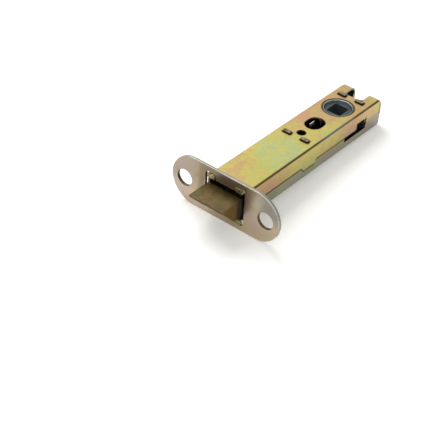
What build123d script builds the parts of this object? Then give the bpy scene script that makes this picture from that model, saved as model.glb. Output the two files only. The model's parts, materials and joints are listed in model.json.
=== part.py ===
"""Tubular mortice door latch: forend, two-part pressed case, sprung latch bolt, draw yoke, square follower.

The origin is the centre of the forend's front face. +X runs into the case, +Y across it and +Z through
its thickness, with the case's broad cover face up. All sizes are in millimetres.
"""
import os
from math import cos, radians, sin

from build123d import *

os.makedirs("parts", exist_ok=True)

# Running gaps
running_gap = 0.08
free_gap = 0.3
snug_gap = 0.05
cut_over = 1.0

# Forend: the plate let into the door's edge
forend_length = 60.0
forend_width = 25.0
forend_thickness = 1.5
forend_edge_round = 0.45
screw_spacing = 45.2
screw_hole = 8.3
opening_width = 22.0
opening_height = 14.2
opening_round = 0.8
lobe_width = 5.8
lobe_reach = 2.8
lobe_round = 1.8

# Case: two pressed trays that meet along the side walls
backset = 83.0
behind_follower = 21.8
case_width = 21.3
case_height = 15.0
sheet = 0.8
cover_side = 8.5
cover_end = 6.9
cover_bend = 1.1
body_inset = 0.25
body_bend = 0.95
cover_far_bend = 4.0
body_far_bend = 1.6
lap_bend_gap = 0.1

# Foot of the cover's side wall, which seats in a recess in the body's wall
foot_ahead = 41.0
foot_length = 10.2
foot_depth = 2.1
foot_slope = 1.3

# Holes and windows through the case
bolt_through_offset = 18.2
bolt_through_length = 10.8
bolt_through_width = 8.7
pilot_hole = 4.6
pilot_from_bridge = 4.1
notch_width = 9.7
notch_from_bridge = 0.95
notch_round = 2.6
window_ahead = 7.8
window_from_bridge = 0.45
window_depth = 2.6
tall_window_length = 8.0
tall_window_height = 3.4

# Tenons of the two halves, peened over in the forend's corners
peen_tenon_width = 3.5
peen_head_width = 4.5
peen_head_height = 2.5
peen_head_lift = 0.3
peen_head_proud = 0.35
peen_head_depth = 0.85
peen_head_round = 1.1
peen_head_edge = 0.3

# Bridges: cross plates staked through both broad faces
bridge_thickness = 1.5
front_bridge_ahead = 32.7
rear_bridge_behind = 10.5
front_bridge_gap = 0.75
rear_bridge_gap = 1.0
tenon_inset = 5.65
tenon_width = 4.4
stake_width = 4.7
stake_thickness = 2.4
stake_height = 0.8
stake_corner = 0.9
stake_round = 0.4

# Latch bolt
bolt_side_gap = 0.2
bolt_height = 10.0
bolt_axis_z = -0.5
bolt_projection = 12.8
bolt_nose_flat = 0.9
bolt_keep_flat = 4.2
bolt_back = 16.0
bolt_edge_round = 0.4

# Tail of the bolt and what holds it
tail_diameter = 5.0
tail_end = 36.3
tail_end_chamfer = 0.5
pin_diameter = 2.5
pin_x = 1.3
pin_recess = 1.2
pin_into_tail = 2.6
washer_diameter = 8.0
washer_thickness = 1.0
clip_diameter = 7.6
clip_thickness = 0.8
clip_mouth = 3.0
groove_diameter = 3.8

# Draw yoke: a strap bent to a U, with a slot in each arm
yoke_x = 32.0
yoke_sheet = 1.0
yoke_bend = 1.6
yoke_side_gap = 0.25
yoke_base_height = 11.2
yoke_arm_low = -5.0
yoke_arm_high = 1.0
yoke_arm_start = 35.5
yoke_end_land = 1.8
yoke_slot_height = 2.5
yoke_slot_length = 6.1

# Follower: square hub with one finger towards each side
spindle_square = 8.0
square_round = 0.3
journal_diameter = 14.56
journal_recess = 0.1
journal_chamfer = 0.25
dish_rim = 0.45
dish_depth = 1.1
dish_slope = 35.0
hub_diameter = 16.1
hub_end_gap = 0.15
finger_reach = 9.7
finger_tip_radius = 0.9
finger_root_radius = 1.25
finger_root_reach = 7.0
finger_thickness = 1.5
finger_z = -2.05
follower_turn = 72.0
finger_play = 0.5

# Springs
bolt_spring_diameter = 8.4
bolt_spring_wire = 0.8
bolt_spring_turns = 4.5
return_spring_diameter = 11.0
return_spring_wire = 1.1
return_spring_turns = 3.5

# Places and sizes worked out from the values above
half_height = case_height / 2
half_width = case_width / 2
inner_half_height = half_height - sheet
case_depth = backset + behind_follower
joint_z = half_height - cover_side
body_half_width = half_width - body_inset
lap_end = case_depth - sheet - snug_gap
cover_end_z = half_height - cover_end
body_inner_half_width = body_half_width - sheet
front_bridge_x = backset - front_bridge_ahead
rear_bridge_x = backset + rear_bridge_behind
foot_start = backset - foot_ahead
window_start = backset - window_ahead
window_end = rear_bridge_x - bridge_thickness / 2 - window_from_bridge
tall_window_start = window_end - tall_window_length
notch_depth = case_depth - rear_bridge_x - bridge_thickness / 2 - notch_from_bridge
bolt_half_width = body_inner_half_width - bolt_side_gap
bolt_low = bolt_axis_z - bolt_height / 2
bolt_high = bolt_axis_z + bolt_height / 2
yoke_half_width = body_inner_half_width - yoke_side_gap
yoke_back = yoke_x + yoke_sheet
tenon_spacing = case_width - 2 * tenon_inset
front_bridge_width = 2 * (yoke_half_width - yoke_sheet - front_bridge_gap)
rear_bridge_width = 2 * (body_inner_half_width - rear_bridge_gap)
rest_angle = follower_turn / 2
bolt_travel = 2 * finger_reach * sin(radians(rest_angle))
slot_rear = backset - bolt_travel / 2 + finger_tip_radius + finger_play
washer_x = yoke_back + running_gap
clip_x = washer_x + washer_thickness + snug_gap
lobe_y = (opening_width - lobe_width) / 2
peen_y = lobe_y - (lobe_width - peen_head_width) / 2 + free_gap


def rounded_block(start_x, end_x, block_half_width, low_z, high_z, side_bend, end_bend):
    """Block rounded over its far end and along both sides, as the outside of a folded tray is."""
    with BuildPart() as block:
        with BuildSketch(Plane.XY.offset(low_z)):
            with Locations((start_x, 0)):
                Rectangle(end_x - start_x, 2 * block_half_width, align=(Align.MIN, Align.CENTER))
        extrude(amount=high_z - low_z)
        fillet(block.faces().sort_by(Axis.Z)[-1].edges().sort_by(Axis.X)[-1], end_bend)
        for side_face in (block.faces().sort_by(Axis.Y)[0], block.faces().sort_by(Axis.Y)[-1]):
            outline = side_face.edges()
            open_edges = [outline.sort_by(Axis.X)[0], outline.sort_by(Axis.Z)[0]]
            fillet([edge for edge in outline if edge not in open_edges], side_bend)
    return block.part


def folded_tray(end_x, tray_half_width, side_depth, side_bend, end_bend):
    """Tray with its web on top, open towards the forend and below."""
    low_z = half_height - side_depth
    outside = rounded_block(
        forend_thickness,
        end_x,
        tray_half_width,
        low_z,
        half_height,
        side_bend,
        end_bend,
    )
    inside = rounded_block(
        forend_thickness - cut_over,
        end_x - sheet,
        tray_half_width - sheet,
        low_z - cut_over,
        half_height - sheet,
        side_bend - sheet,
        end_bend - sheet,
    )
    with BuildPart() as tray:
        add(outside)
        add(inside, mode=Mode.SUBTRACT)
    return tray.part


def foot_outline(grow):
    """Corners of the foot on the cover's side wall, larger all round by grow."""
    first = foot_start - grow
    last = foot_start + foot_length + grow
    low = joint_z - foot_depth - grow
    top = joint_z + snug_gap
    return [(first, top), (last, top), (last - foot_slope, low), (first + foot_slope, low)]


# Cuts that both halves share: follower hole, through-bolt slot, pilot hole, tenon slots and far notch
with BuildPart() as web_cuts:
    with BuildSketch(Plane.XY.offset(-half_height - cut_over)):
        with Locations((backset, 0)):
            Circle(journal_diameter / 2 + running_gap)
        with Locations((backset - bolt_through_offset, 0)):
            SlotOverall(bolt_through_length, bolt_through_width)
        with Locations((front_bridge_x + pilot_from_bridge, 0)):
            Circle(pilot_hole / 2)
        for bridge_x in (front_bridge_x, rear_bridge_x):
            with Locations((bridge_x, -tenon_spacing / 2), (bridge_x, tenon_spacing / 2)):
                Rectangle(bridge_thickness + 2 * snug_gap, tenon_width + 2 * snug_gap)
        with Locations((case_depth, 0)):
            RectangleRounded(2 * notch_depth, notch_width, notch_round)
    extrude(amount=case_height + 2 * cut_over)

# Front tenon of a half at one corner of the forend, with its peened head
with BuildPart() as peened_tenons:
    with BuildSketch(Plane.YZ):
        with Locations((-peen_y, half_height - sheet / 2), (peen_y, half_height - sheet / 2)):
            Rectangle(peen_tenon_width, sheet)
    extrude(amount=forend_thickness)
    head_z = inner_half_height + peen_head_lift + peen_head_height / 2
    with BuildSketch(Plane.YZ.offset(-peen_head_proud)):
        with Locations((-peen_y, head_z), (peen_y, head_z)):
            RectangleRounded(peen_head_width, peen_head_height, peen_head_round)
    extrude(amount=peen_head_depth)
    fillet(peened_tenons.faces().group_by(Axis.X)[0].edges(), peen_head_edge)

# Cover: the upper tray
with BuildPart() as case_cover:
    add(folded_tray(case_depth, half_width, cover_side, cover_bend, cover_far_bend))
    add(web_cuts.part, mode=Mode.SUBTRACT)
    add(peened_tenons.part)
    with BuildSketch(Plane.XZ.offset(-half_width)):
        Polygon(*foot_outline(0), align=None)
    extrude(amount=sheet)
    with BuildSketch(Plane.XZ.offset(half_width)):
        Polygon(*foot_outline(0), align=None)
    extrude(amount=-sheet)
    # Tall part of each side window
    with BuildSketch(Plane.XZ):
        with Locations(((tall_window_start + window_end) / 2, joint_z)):
            Rectangle(window_end - tall_window_start, 2 * tall_window_height)
    extrude(amount=half_width + cut_over, both=True, mode=Mode.SUBTRACT)
    # End wall, shorter than the side walls
    with BuildSketch(Plane.YZ.offset(case_depth - cover_far_bend)):
        with Locations((0, joint_z)):
            Rectangle(2 * (half_width - cover_bend), 2 * (cover_side - cover_end))
    extrude(amount=cover_far_bend + cut_over, mode=Mode.SUBTRACT)

# Body: the lower tray, set in a little from the cover's walls
with BuildPart() as case_body:
    body_depth = case_height - cover_side
    add(folded_tray(case_depth, body_half_width, body_depth, body_bend, body_far_bend))
    mirror(about=Plane.XY, mode=Mode.REPLACE)
    add(web_cuts.part, mode=Mode.SUBTRACT)
    add(mirror(peened_tenons.part, about=Plane.XY, mode=Mode.PRIVATE))
    # End wall: up to the cover's end wall, and then stepped in to lap inside it
    with BuildSketch(Plane.XZ):
        Polygon(
            (case_depth, joint_z),
            (case_depth, cover_end_z - snug_gap),
            (lap_end, cover_end_z - snug_gap),
            (lap_end, half_height - cover_far_bend - lap_bend_gap),
            (lap_end - sheet, half_height - cover_far_bend - lap_bend_gap),
            (lap_end - sheet, joint_z),
            align=None,
        )
    extrude(amount=body_half_width - cover_bend, both=True)
    with BuildSketch(Plane.XY.offset(joint_z)):
        with Locations((case_depth, 0)):
            RectangleRounded(2 * notch_depth, notch_width, notch_round)
    extrude(amount=half_height - joint_z, mode=Mode.SUBTRACT)
    # Low part of each side window, and the recess for the foot
    with BuildSketch(Plane.XZ):
        with Locations(((window_start + window_end) / 2, joint_z)):
            Rectangle(window_end - window_start, 2 * window_depth)
        Polygon(*foot_outline(snug_gap), align=None)
    extrude(amount=half_width + cut_over, both=True, mode=Mode.SUBTRACT)

# Forend
with BuildPart() as forend:
    with BuildSketch(Plane.YZ):
        SlotOverall(forend_length, forend_width)
        with Locations((-screw_spacing / 2, 0), (screw_spacing / 2, 0)):
            Circle(screw_hole / 2, mode=Mode.SUBTRACT)
        RectangleRounded(opening_width, opening_height, opening_round, mode=Mode.SUBTRACT)
        with GridLocations(2 * lobe_y, opening_height, 2, 2):
            RectangleRounded(lobe_width, 2 * lobe_reach, lobe_round, mode=Mode.SUBTRACT)
    extrude(amount=forend_thickness)
    fillet(forend.faces().sort_by(Axis.X)[0].outer_wire().edges(), forend_edge_round)


def bridge_plate(middle_x, width, hole_radius):
    """Cross plate between the broad faces, with two tenons staked over on each of them."""
    with BuildPart() as plate:
        with BuildSketch(Plane.YZ.offset(middle_x - bridge_thickness / 2)):
            Rectangle(width, 2 * inner_half_height)
            with Locations((-tenon_spacing / 2, 0), (tenon_spacing / 2, 0)):
                Rectangle(tenon_width, case_height)
            if hole_radius > 0:
                with Locations((0, bolt_axis_z)):
                    Circle(hole_radius, mode=Mode.SUBTRACT)
        extrude(amount=bridge_thickness)
        with BuildSketch(Plane.XY.offset(half_height)):
            with Locations((middle_x, -tenon_spacing / 2), (middle_x, tenon_spacing / 2)):
                RectangleRounded(stake_thickness, stake_width, stake_corner)
        extrude(amount=stake_height)
        fillet(plate.faces().group_by(Axis.Z)[-1].edges(), stake_round)
        with BuildSketch(Plane.XY.offset(-half_height)):
            with Locations((middle_x, -tenon_spacing / 2), (middle_x, tenon_spacing / 2)):
                RectangleRounded(stake_thickness, stake_width, stake_corner)
        extrude(amount=-stake_height)
        fillet(plate.faces().group_by(Axis.Z)[0].edges(), stake_round)
    return plate.part


# Front bridge: backs the return spring and lets the bolt's tail through
with BuildPart() as front_bridge:
    add(bridge_plate(front_bridge_x, front_bridge_width, washer_diameter / 2 + free_gap))

# Rear bridge: closes the window zone behind the follower
with BuildPart() as rear_bridge:
    add(bridge_plate(rear_bridge_x, rear_bridge_width, 0))

# Latch bolt: flat keep above, bevelled below, bored from behind for its tail
with BuildPart() as latch_bolt:
    with BuildSketch(Plane.XZ):
        Polygon(
            (-bolt_projection, bolt_high),
            (-bolt_projection, bolt_high - bolt_nose_flat),
            (-bolt_keep_flat, bolt_low),
            (bolt_back, bolt_low),
            (bolt_back, bolt_high),
            align=None,
        )
    extrude(amount=bolt_half_width, both=True)
    fillet(latch_bolt.edges().filter_by(Axis.Y, reverse=True), bolt_edge_round)
    with BuildSketch(Plane.YZ.offset(bolt_back)):
        with Locations((0, bolt_axis_z)):
            Circle(tail_diameter / 2 + snug_gap)
    extrude(amount=-(bolt_back - pin_x + pin_into_tail + snug_gap), mode=Mode.SUBTRACT)
    with BuildSketch(Plane.XY.offset(bolt_low - cut_over)):
        with Locations((pin_x, 0)):
            Circle(pin_diameter / 2 + snug_gap)
    extrude(amount=bolt_height + 2 * cut_over, mode=Mode.SUBTRACT)

# Tail: round bar pinned in the bolt, with a groove for the clip near its end
with BuildPart() as bolt_tail:
    with BuildSketch(Plane.XZ):
        with Locations((pin_x - pin_into_tail, bolt_axis_z)):
            Rectangle(tail_end - pin_x + pin_into_tail, tail_diameter / 2, align=(Align.MIN, Align.MIN))
        with Locations((clip_x, bolt_axis_z + groove_diameter / 2)):
            Rectangle(
                clip_thickness + snug_gap,
                tail_diameter,
                align=(Align.MIN, Align.MIN),
                mode=Mode.SUBTRACT,
            )
    revolve(axis=Axis((0, 0, bolt_axis_z), (1, 0, 0)))
    chamfer(bolt_tail.faces().sort_by(Axis.X)[-1].edges(), tail_end_chamfer)
    with BuildSketch(Plane.XY.offset(bolt_low)):
        with Locations((pin_x, 0)):
            Circle(pin_diameter / 2 + snug_gap)
    extrude(amount=bolt_height, mode=Mode.SUBTRACT)

# Pin through the bolt and its tail
with BuildPart() as tail_pin:
    with BuildSketch(Plane.XY.offset(bolt_low + pin_recess)):
        with Locations((pin_x, 0)):
            Circle(pin_diameter / 2)
    extrude(amount=bolt_height - 2 * pin_recess)

# Washer and clip behind the yoke, which take its pull
with BuildPart() as tail_washer:
    with BuildSketch(Plane.YZ.offset(washer_x)):
        with Locations((0, bolt_axis_z)):
            Circle(washer_diameter / 2)
            Circle(tail_diameter / 2 + snug_gap, mode=Mode.SUBTRACT)
    extrude(amount=washer_thickness)

with BuildPart() as tail_clip:
    with BuildSketch(Plane.YZ.offset(clip_x + snug_gap / 2)):
        with Locations((0, bolt_axis_z)):
            Circle(clip_diameter / 2)
            Circle(groove_diameter / 2 + snug_gap, mode=Mode.SUBTRACT)
            Rectangle(clip_mouth, clip_diameter, align=(Align.CENTER, Align.MIN), mode=Mode.SUBTRACT)
    extrude(amount=clip_thickness)


def coil_spring(start_x, end_x, outer_diameter, wire, turns):
    """Round-wire compression spring along the bolt's axis, between two seats."""
    coil_radius = (outer_diameter - wire) / 2
    coil_length = end_x - start_x - wire
    coil_start = (start_x + wire / 2, 0, bolt_axis_z)
    with BuildPart() as coil:
        with BuildLine() as coil_line:
            Helix(coil_length / turns, coil_length, coil_radius, center=coil_start, direction=(1, 0, 0))
        with BuildSketch(Plane(origin=coil_line.line @ 0, z_dir=coil_line.line % 0)):
            Circle(wire / 2)
        sweep(is_frenet=True)
    return coil.part


# Light spring between the bolt and the yoke, so that the bolt can be pushed in by the strike
with BuildPart() as bolt_spring:
    add(
        coil_spring(
            bolt_back + snug_gap,
            yoke_x - snug_gap,
            bolt_spring_diameter,
            bolt_spring_wire,
            bolt_spring_turns,
        )
    )

# Strong spring between the yoke and the front bridge, which returns the handle
with BuildPart() as return_spring:
    spring_seat = front_bridge_x - bridge_thickness / 2
    add(
        coil_spring(
            yoke_back + snug_gap,
            spring_seat - snug_gap,
            return_spring_diameter,
            return_spring_wire,
            return_spring_turns,
        )
    )

# Draw yoke
with BuildPart() as draw_yoke:
    yoke_end = slot_rear + yoke_end_land
    base_low = bolt_axis_z - yoke_base_height / 2
    with BuildSketch(Plane.XY.offset(base_low)):
        with Locations((yoke_x, 0)):
            RectangleRounded(
                2 * (yoke_end - yoke_x),
                2 * yoke_half_width,
                yoke_bend,
                align=(Align.MIN, Align.CENTER),
            )
        with Locations((yoke_back, 0)):
            RectangleRounded(
                2 * (yoke_end - yoke_x),
                2 * (yoke_half_width - yoke_sheet),
                yoke_bend - yoke_sheet,
                align=(Align.MIN, Align.CENTER),
                mode=Mode.SUBTRACT,
            )
        with Locations((yoke_end, 0)):
            Rectangle(yoke_end, case_width, align=(Align.MIN, Align.CENTER), mode=Mode.SUBTRACT)
    extrude(amount=yoke_base_height)
    # Arms narrower than the base, each with a slot for a finger of the follower
    with BuildSketch(Plane.XZ):
        with Locations((yoke_arm_start, yoke_arm_high)):
            Rectangle(yoke_end, case_height, align=(Align.MIN, Align.MIN))
        with Locations((yoke_arm_start, yoke_arm_low)):
            Rectangle(yoke_end, case_height, align=(Align.MIN, Align.MAX))
        with Locations((slot_rear, finger_z)):
            Rectangle(yoke_slot_length, yoke_slot_height, align=(Align.MAX, Align.CENTER))
    extrude(amount=half_width, both=True, mode=Mode.SUBTRACT)
    with BuildSketch(Plane.YZ.offset(yoke_x - cut_over)):
        with Locations((0, bolt_axis_z)):
            Circle(tail_diameter / 2 + running_gap)
    extrude(amount=yoke_sheet + 2 * cut_over, mode=Mode.SUBTRACT)

# Follower
with BuildPart() as follower:
    journal_end = half_height - journal_recess
    hub_end = inner_half_height - hub_end_gap
    with BuildSketch(Plane.XY.offset(-journal_end)):
        with Locations((backset, 0)):
            Circle(journal_diameter / 2)
    extrude(amount=2 * journal_end)
    chamfer(follower.edges().filter_by(GeomType.CIRCLE), journal_chamfer)
    with BuildSketch(Plane.XY.offset(-hub_end)):
        with Locations((backset, 0)):
            Circle(hub_diameter / 2)
    extrude(amount=2 * hub_end)
    # Dished ends, which guide the spindle into the square
    for end in (-1, 1):
        with BuildSketch(Plane.XY.offset(end * journal_end)):
            with Locations((backset, 0)):
                Circle(journal_diameter / 2 - dish_rim)
        extrude(amount=-end * dish_depth, taper=dish_slope, mode=Mode.SUBTRACT)
    for side in (-1, 1):
        reach_x = -sin(radians(rest_angle))
        reach_y = side * cos(radians(rest_angle))
        with BuildSketch(Plane.XY.offset(finger_z - finger_thickness / 2)):
            with Locations((backset + finger_root_reach * reach_x, finger_root_reach * reach_y)):
                Circle(finger_root_radius)
            with Locations((backset + finger_reach * reach_x, finger_reach * reach_y)):
                Circle(finger_tip_radius)
            make_hull()
        extrude(amount=finger_thickness)
    with BuildSketch(Plane.XY.offset(-journal_end)):
        with Locations((backset, 0)):
            RectangleRounded(spindle_square, spindle_square, square_round)
    extrude(amount=2 * journal_end, mode=Mode.SUBTRACT)

pieces = {
    "forend": forend,
    "case_cover": case_cover,
    "case_body": case_body,
    "front_bridge": front_bridge,
    "rear_bridge": rear_bridge,
    "latch_bolt": latch_bolt,
    "bolt_tail": bolt_tail,
    "tail_pin": tail_pin,
    "tail_washer": tail_washer,
    "tail_clip": tail_clip,
    "bolt_spring": bolt_spring,
    "return_spring": return_spring,
    "draw_yoke": draw_yoke,
    "follower": follower,
}
for name, piece in pieces.items():
    piece.part.label = name
    export_step(piece.part, f"parts/{name}.step")

print(f"bolt travel {bolt_travel:.3f} mm over {follower_turn:.1f} degrees")
print(f"travel per radian {bolt_travel / radians(follower_turn):.5f} mm")
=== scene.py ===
"""Dresses the tubular door latch: plated case, forend, cast bolt, follower, coil springs and a studio.

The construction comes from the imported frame. This file adds the finishes, softens the sheared edges
of the sheet parts and winds the two springs with closed ends.
"""

import json
import math

import bmesh
import bpy
from bpy.props import FloatProperty, FloatVectorProperty, IntProperty, PointerProperty
from bpy.types import Operator, Panel, PropertyGroup
from mathutils import Matrix, Vector


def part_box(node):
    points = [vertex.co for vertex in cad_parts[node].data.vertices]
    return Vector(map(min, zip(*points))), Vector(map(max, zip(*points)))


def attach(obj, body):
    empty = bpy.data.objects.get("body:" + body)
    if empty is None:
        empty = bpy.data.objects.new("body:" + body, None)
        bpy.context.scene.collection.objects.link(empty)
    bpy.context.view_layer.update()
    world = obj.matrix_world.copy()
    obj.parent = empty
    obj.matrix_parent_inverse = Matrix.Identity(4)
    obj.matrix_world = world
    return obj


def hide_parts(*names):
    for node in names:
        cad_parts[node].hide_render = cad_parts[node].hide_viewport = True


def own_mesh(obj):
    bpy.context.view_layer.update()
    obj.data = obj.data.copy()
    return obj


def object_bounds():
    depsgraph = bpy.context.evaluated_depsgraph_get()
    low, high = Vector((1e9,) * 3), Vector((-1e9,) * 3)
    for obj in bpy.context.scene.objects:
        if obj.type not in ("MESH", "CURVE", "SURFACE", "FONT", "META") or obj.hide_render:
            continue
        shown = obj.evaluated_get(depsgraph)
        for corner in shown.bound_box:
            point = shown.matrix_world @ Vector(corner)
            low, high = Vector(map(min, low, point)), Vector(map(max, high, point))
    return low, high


bl_info = {
    "name": "Tubular Latch",
    "version": (1, 0, 0),
    "blender": (4, 5, 0),
    "location": "3D View > Sidebar > Latch",
    "description": "Finishes, springs and studio for a tubular door latch",
    "category": "Object",
}

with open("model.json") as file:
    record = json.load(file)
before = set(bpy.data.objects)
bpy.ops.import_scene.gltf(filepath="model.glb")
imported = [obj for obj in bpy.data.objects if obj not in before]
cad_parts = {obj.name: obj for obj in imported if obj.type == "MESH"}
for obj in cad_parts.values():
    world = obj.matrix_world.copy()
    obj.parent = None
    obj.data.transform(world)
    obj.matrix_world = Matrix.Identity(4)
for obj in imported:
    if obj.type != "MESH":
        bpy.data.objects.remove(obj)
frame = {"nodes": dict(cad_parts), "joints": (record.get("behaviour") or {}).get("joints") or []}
CAD_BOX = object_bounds()
NODES = frame["nodes"]
MM = 0.001
TURN = 2 * math.pi
WHITE = (1.0, 1.0, 1.0)

# Softening of the sheet parts
MERGE_DISTANCE = 0.002 * MM
FLAT_ANGLE = math.radians(0.4)
SHARP_ANGLE = math.radians(50)

# Rise of a closed turn of spring, in wire radii
CLOSED_RISE = 2.02

# Studio: lamps, with place from the latch's middle and side length in metres, and camera
KEY_PLACE = Vector((0.10, 0.42, 0.55))
KEY_SIZE = 0.5
FILL_PLACE = Vector((-0.55, -0.1, 0.35))
FILL_SIZE = 0.6
NEAR_CLIP = 10 * MM

# Places read from the frame
FOREND_LOW, FOREND_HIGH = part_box("forend")
COVER_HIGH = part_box("case_cover")[1]
BODY_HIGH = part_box("case_body")[1]
FRONT_STAKES_LOW, FRONT_STAKES_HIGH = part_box("front_bridge")
REAR_STAKES_LOW, REAR_STAKES_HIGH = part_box("rear_bridge")
BOLT_HALF_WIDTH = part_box("latch_bolt")[1].y
FOLLOWER_AXIS = Vector(next(j["pos_m"] for j in frame["joints"] if j["name"] == "follower_turn"))

# Case: two pressed trays that meet at the joint, with a foot on the upper one
SHEET = 0.8 * MM
STAKE_HEIGHT = 0.8 * MM
CASE_TOP = FRONT_STAKES_HIGH.z - STAKE_HEIGHT
CASE_LENGTH = COVER_HIGH.x
JOINT_HEIGHT = CASE_TOP - 8.5 * MM
FOOT_X = FOLLOWER_AXIS.x - 35.9 * MM
FOOT_HALF_LENGTH = 5.1 * MM
FOOT_DEPTH = 2.1 * MM
FOOT_SLOPE = 1.3 * MM
WINDOW_X = FOLLOWER_AXIS.x - 3.6 * MM
WINDOW_DEPTH = 2.6 * MM
NOTCH_X = 95.3 * MM
NOTCH_HALF_WIDTH = 4.85 * MM
GREEN_PATCH_X = 66.0 * MM

# Stakes of the two bridges
STAKES_X = (
    (FRONT_STAKES_LOW.x + FRONT_STAKES_HIGH.x) / 2,
    (REAR_STAKES_LOW.x + REAR_STAKES_HIGH.x) / 2,
)
STAKES_Y = 5.0 * MM
STAKE_HALF_WIDTH = 2.35 * MM

# Forend: its outline, screw holes and the lobes of its opening
FOREND_HALF_WIDTH = FOREND_HIGH.z
FOREND_END_Y = FOREND_HIGH.y - FOREND_HALF_WIDTH
SCREW_Y = 22.6 * MM
SCREW_RADIUS = 4.15 * MM
LOBE_Y = 8.1 * MM
LOBE_HALF_WIDTH = 2.9 * MM
LOBE_TOP = 9.9 * MM
LOBE_ROUND = 1.8 * MM

# Follower: its round ends and its square hole
HEAD_RADIUS = 7.28 * MM
HEAD_LOW = 6.9 * MM
SQUARE_HALF = 4.0 * MM


def paint(red, green, blue):
    """Linear colour of a paint given as the usual 0 to 255 values."""
    tones = (red, green, blue)
    return [((tone / 255 + 0.055) / 1.055) ** 2.4 if tone > 10 else tone / 3294 for tone in tones]


def colour_property(name, description, tone):
    """Colour setting with a default written in 0 to 255 values."""
    return FloatVectorProperty(
        name=name, description=description, subtype="COLOR", size=3, min=0, max=1, default=paint(*tone)
    )


def length_property(name, description, size_mm):
    """Length setting with a default in millimetres, kept in metres."""
    return FloatProperty(
        name=name, description=description, unit="LENGTH", subtype="DISTANCE", default=size_mm * MM
    )


class LatchFinishSettings(PropertyGroup):
    zinc_pink: colour_property("Pink", "Pink to orange film colour", (190, 146, 110))
    zinc_gold: colour_property("Gold", "Main tone of the yellow zinc plating", (184, 160, 102))
    zinc_yellow: colour_property("Yellow", "Bright yellow film colour", (188, 174, 92))
    zinc_green: colour_property("Green", "Green film colour", (170, 176, 108))
    zinc_pale: colour_property("Pale green", "Coolest film colour", (166, 168, 122))
    cover_rose: colour_property("Rose", "Rose pink film beside the window", (178, 146, 132))
    cut_grey: colour_property("Cut edge", "Bare grey edge of the far notch", (134, 132, 122))
    # Painted shade along the bends and in the forend's screw holes, and a grey painted highlight on the
    # bends
    bend_and_hole_shade: colour_property("Bend brown", "Dark film along the outer bends", (84, 72, 40))
    bend_highlight: colour_property("Bend grey", "Grey stretch of the film along the bends", (104, 108, 108))
    # Lower tray tones: its own film, made darker and greyer than the cover's as painted shade and
    # painted reflection
    body_olive: colour_property("Body olive", "Main tone of the lower tray", (148, 149, 114))
    body_rose: colour_property("Body rose", "Rose grey clouds on the lower tray", (152, 139, 125))
    body_moss: colour_property("Body moss", "Green clouds on the lower tray", (138, 142, 112))
    # Painted shade for folds, gaps, joints, window sills, the opening's walls and the bolt near the
    # case
    painted_shade: colour_property("Fold shade", "Dark film in folds, gaps and cut edges", (46, 38, 24))
    forend_silver: colour_property("Forend silver", "Main tone of the forend", (190, 175, 158))
    forend_pink: colour_property("Forend pink", "Pinkish film on the forend", (192, 172, 168))
    forend_grey: colour_property("Forend grey", "Cool grey film at the end and edge", (132, 131, 122))
    forend_straw: colour_property("Forend straw", "Straw film on the forend", (190, 170, 130))
    # Painted reflection of the bolt and painted shade round the forend's opening
    forend_shade: colour_property("Forend shade", "Brown grey film above the opening", (112, 98, 76))
    # Painted highlight on the forend's rim and the opening's lip
    forend_highlight: colour_property("Forend rim", "Rubbed edge of the forend", (206, 202, 194))
    bronze: colour_property("Bolt bronze", "Brown bronze of the cast bolt", (96, 81, 43))
    bronze_dark: colour_property("Bolt shade", "Darker mottling of the bolt", (74, 61, 31))
    bronze_gold: colour_property("Bolt gold", "Warm film on the bolt's sides", (126, 100, 52))
    bronze_rust: colour_property("Bolt rust", "Orange blotches on the bolt", (112, 78, 42))
    # Painted highlight on the follower's rim
    follower_rim_highlight: colour_property("Follower rim", "Rubbed rim of the follower", (222, 224, 220))
    cast_grey: colour_property("Follower grey", "Walls of the follower's square", (104, 114, 116))
    cast_dish: colour_property("Follower dish", "Dished ends of the follower", (60, 70, 73))
    # Near black: oiled steel, darkened further as painted shade inside the case
    strip_steel: colour_property("Strip steel", "Oiled strip of the draw yoke", (34, 32, 28))
    bright_steel: colour_property("Bright steel", "Tail, pin and washer", (176, 176, 172))
    spring_steel: colour_property("Spring steel", "Coil springs and clip", (84, 84, 86))
    blotch_size: length_property("Blotch size", "Width of a colour patch of the plating film", 15.0)
    edge_softness: length_property("Edge softness", "Width of the rounding on sheared edges", 0.12)
    edge_segments: IntProperty(
        name="Edge segments", description="Faces across a softened edge", default=2, min=1
    )


class LatchSpringSettings(PropertyGroup):
    ring_sides: IntProperty(name="Wire sides", description="Faces round the wire", default=14, min=6)
    turn_steps: IntProperty(
        name="Steps per turn", description="Points along one turn of wire", default=40, min=12
    )
    bolt_turns: FloatProperty(
        name="Bolt spring turns", description="Turns of the light spring", default=4.5
    )
    bolt_wire: length_property("Bolt spring wire", "Wire of the light spring", 0.8)
    return_turns: FloatProperty(
        name="Return spring turns", description="Turns of the strong spring", default=3.5
    )
    return_wire: length_property("Return spring wire", "Wire of the strong spring", 1.1)
    closed_share: FloatProperty(
        name="Closed ends", description="Share of the turns that lie closed at each end", default=0.22
    )
    bolt_keep: FloatProperty(
        name="Bolt spring closed",
        description="Share of its length that the light spring keeps when pressed",
        default=0.28,
    )
    return_keep: FloatProperty(
        name="Return spring closed",
        description="Share of its length that the strong spring keeps when pressed",
        default=0.30,
    )


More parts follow.
